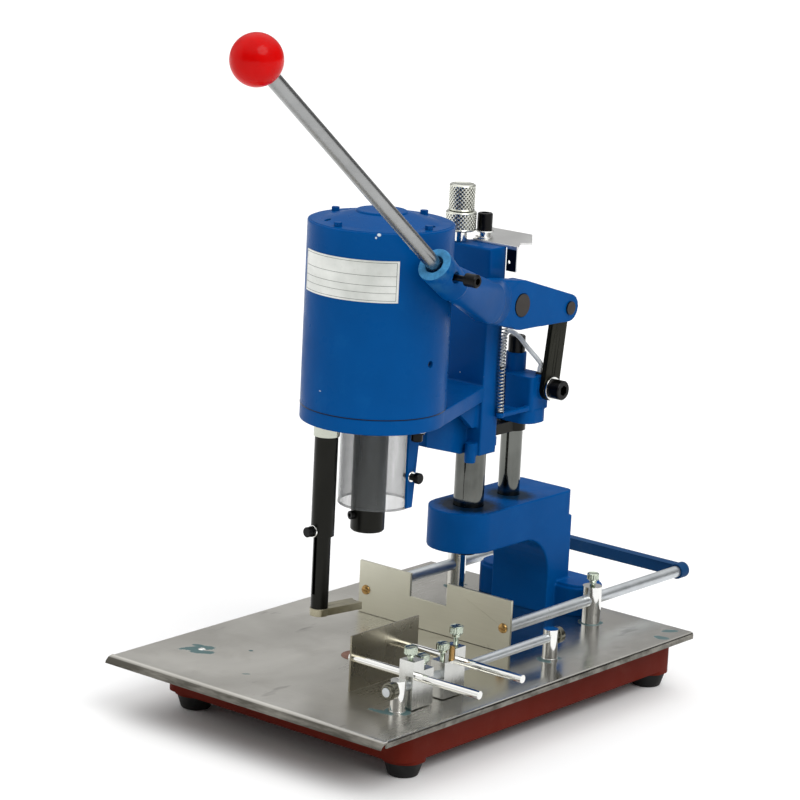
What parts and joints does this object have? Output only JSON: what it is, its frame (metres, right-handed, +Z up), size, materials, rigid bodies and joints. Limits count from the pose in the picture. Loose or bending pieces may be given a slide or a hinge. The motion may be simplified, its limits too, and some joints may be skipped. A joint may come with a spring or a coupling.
{
  "type": "paper drill",
  "caption": "Bench paper drilling machine: motor head on columns, lowered by a side lever, with sprung paper foot, guard, rear fence and side gauge on a steel table.",
  "frame": {"origin": "centre of the overall footprint on the ground plane, under the rubber feet", "axes": "+Z up, -Y towards the operator, +X the lever side; the spindle points along -Z"},
  "size_m": [0.3846, 0.7466, 0.7033],
  "materials": {
    "base_red": "satin red-brown paint, dusty",
    "sheet": "worn stainless sheet, scratched and stained",
    "rubber_black": "matt",
    "pad_brown": "worn brown cutting pad",
    "blue_paint": "semi-gloss blue paint",
    "column_steel": "dark ground bar, oily",
    "black_steel": "black oxide, satin",
    "chrome": "polished",
    "satin_rod": "satin ground",
    "zinc": "knurled, dull zinc",
    "lead_grey": "grey sleeve",
    "plate_metal": "printed aluminium plate, bare",
    "core_grey": "laminated core and windings",
    "spindle_dark": "dark satin",
    "guard_clear": "clear tube, lightly scuffed",
    "foot_olive": "tarnished olive-brown steel",
    "spring_steel": "spring wire",
    "red_ball": "glossy red",
    "pin_brown": "dark oxide brown",
    "fence_sheet": "warm grey sheet, satin",
    "brass_screw": "tarnished",
    "block_alu": "machined",
    "gauge_sheet": "dark olive-brown sheet"
  },
  "bodies": {
    "base": {"base_casting": "base_red", "table_sheet": "sheet", "rubber_feet": "rubber_black", "drill_pad": "pad_brown", "stand_casting": "blue_paint", "front_column": "column_steel", "rear_column": "column_steel", "column_nut": "black_steel", "rear_block": "blue_paint", "rear_cap": "black_steel", "link_bolt": "black_steel", "link_washer": "chrome", "power_lead": "lead_grey", "gauge_rod": "satin_rod", "gauge_posts": "chrome", "gauge_nuts": "black_steel", "fence_posts": "chrome", "fence_post_screws": "zinc"},
    "head": {"head_casting": "blue_paint", "guide_arm": "black_steel", "motor_shell": "blue_paint", "motor_cover": "blue_paint", "cover_screws": "blue_paint", "nameplate": "plate_metal", "stator": "core_grey", "bearings": "chrome", "motor_bolts": "black_steel", "presser_nut": "chrome", "presser_tube": "black_steel", "presser_screw": "black_steel", "guard_cylinder": "guard_clear", "guard_bracket": "blue_paint", "guard_screw": "black_steel", "pivot_pin": "pin_brown", "return_spring": "spring_steel", "top_washers": "chrome", "top_cap_screw": "black_steel", "top_bracket": "satin_rod"},
    "lever": {"lever_arm": "blue_paint", "lever_rod": "satin_rod", "ball_knob": "red_ball", "clamp_screw": "black_steel", "link_pin": "pin_brown"},
    "rear_link": {"link": "black_steel"},
    "spindle": {"rotor_shaft": "spindle_dark", "chuck": "black_steel", "chuck_screw": "black_steel"},
    "foot": {"presser_rod": "black_steel", "presser_foot": "foot_olive", "presser_spring": "spring_steel"},
    "depth_knob": {"depth_screw": "zinc"},
    "ring": {"lock_ring": "zinc"},
    "fence": {"fence_plate": "fence_sheet", "fence_screws": "brass_screw", "fence_rods": "chrome", "crossbar": "blue_paint"},
    "gauge_carriage": {"slide_blocks": "block_alu", "gauge_screws": "zinc"},
    "side_gauge": {"side_plate": "gauge_sheet", "side_rods": "chrome"}
  },
  "joints": [
    {"name": "head_slide", "type": "slide", "parent": "base", "child": "head", "axis": [0, 0, -1], "range_m": [0, 0.042], "stiffness_N_per_m": 2500, "springref_m": -0.13, "deforming": ["return_spring"]},
    {"name": "lever_turn", "type": "hinge", "parent": "head", "child": "lever", "pos_m": [0.0227, 0.10285, 0.4023], "axis": [1, 0, 0], "range_deg": [0, 29.9]},
    {"name": "link_swing", "type": "hinge", "parent": "base", "child": "rear_link", "pos_m": [0.0187, 0.17235, 0.3064], "axis": [1, 0, 0], "range_deg": [0, 1.8]},
    {"name": "spindle_spin", "type": "hinge", "parent": "head", "child": "spindle", "pos_m": [-0.0223, -0.05825, 0.261], "axis": [0, 0, 1], "continuous": true},
    {"name": "foot_slide", "type": "slide", "parent": "head", "child": "foot", "axis": [0, 0, 1], "range_m": [0, 0.045], "stiffness_N_per_m": 220, "springref_m": -0.05, "deforming": ["presser_spring"]},
    {"name": "depth_turn", "type": "hinge", "parent": "head", "child": "depth_knob", "pos_m": [-0.0443, 0.09335, 0.491], "axis": [0, 0, 1], "continuous": true},
    {"name": "ring_turn", "type": "hinge", "parent": "head", "child": "ring", "pos_m": [-0.0443, 0.09335, 0.476], "axis": [0, 0, 1], "continuous": true},
    {"name": "fence_slide", "type": "slide", "parent": "base", "child": "fence", "axis": [0, 1, 0], "range_m": [-0.06, 0.015]},
    {"name": "gauge_slide", "type": "slide", "parent": "base", "child": "gauge_carriage", "axis": [0, 1, 0], "range_m": [0, 0.1]},
    {"name": "side_slide", "type": "slide", "parent": "gauge_carriage", "child": "side_gauge", "axis": [1, 0, 0], "range_m": [-0.04, 0.05]}
  ],
  "couplings": [
    {"joint": "lever_turn", "follows": "head_slide", "rad_per_m": 12.35},
    {"joint": "link_swing", "follows": "head_slide", "rad_per_m": 0.7}
  ]
}
